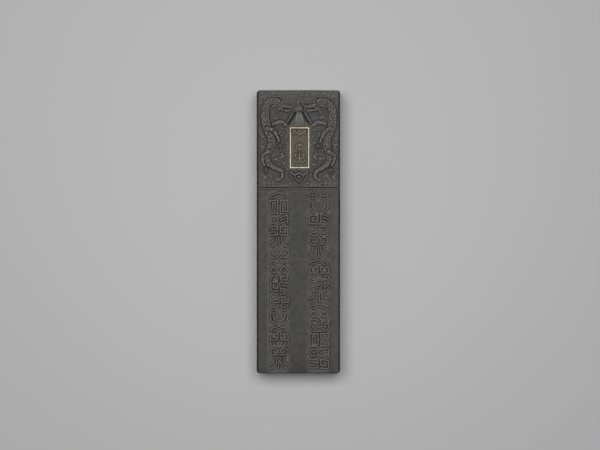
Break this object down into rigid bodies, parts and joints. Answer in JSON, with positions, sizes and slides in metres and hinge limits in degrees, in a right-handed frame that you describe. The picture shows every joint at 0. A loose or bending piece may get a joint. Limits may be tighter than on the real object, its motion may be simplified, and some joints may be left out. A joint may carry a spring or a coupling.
{
  "type": "ink stick",
  "caption": "Rectangular moulded ink stick with dragon relief, gilt framed cartouche, double dividing groove and two columns of low-relief ornament.",
  "frame": {"origin": "centre of the object's box on the plain back face, which lies on the table (z = 0)", "axes": "+Z out of the decorated front face, +Y along the length towards the dragon end, +X across the width to the reader's right; -Y is the grinding end"},
  "size_m": [0.042, 0.1424, 0.014],
  "materials": {
    "pressed_ink": "matt black-grey pressed soot and hide glue, faintly burnished on the high parts",
    "worn_gold_wash": "thin olive-brown remains of gold paint rubbed over ink",
    "gilding": "pale satin shell-gold paint, slightly worn",
    "worn_gilding": "worn pinkish gold paint with ink showing through"
  },
  "bodies": {
    "root": {"ink_cake": "pressed_ink", "panel_wash": "worn_gold_wash", "gilt_fillet": "gilding", "gilt_upper_emblem": "worn_gilding", "gilt_centre_emblem": "worn_gilding", "gilt_lower_emblem": "worn_gilding"}
  },
  "joints": []
}
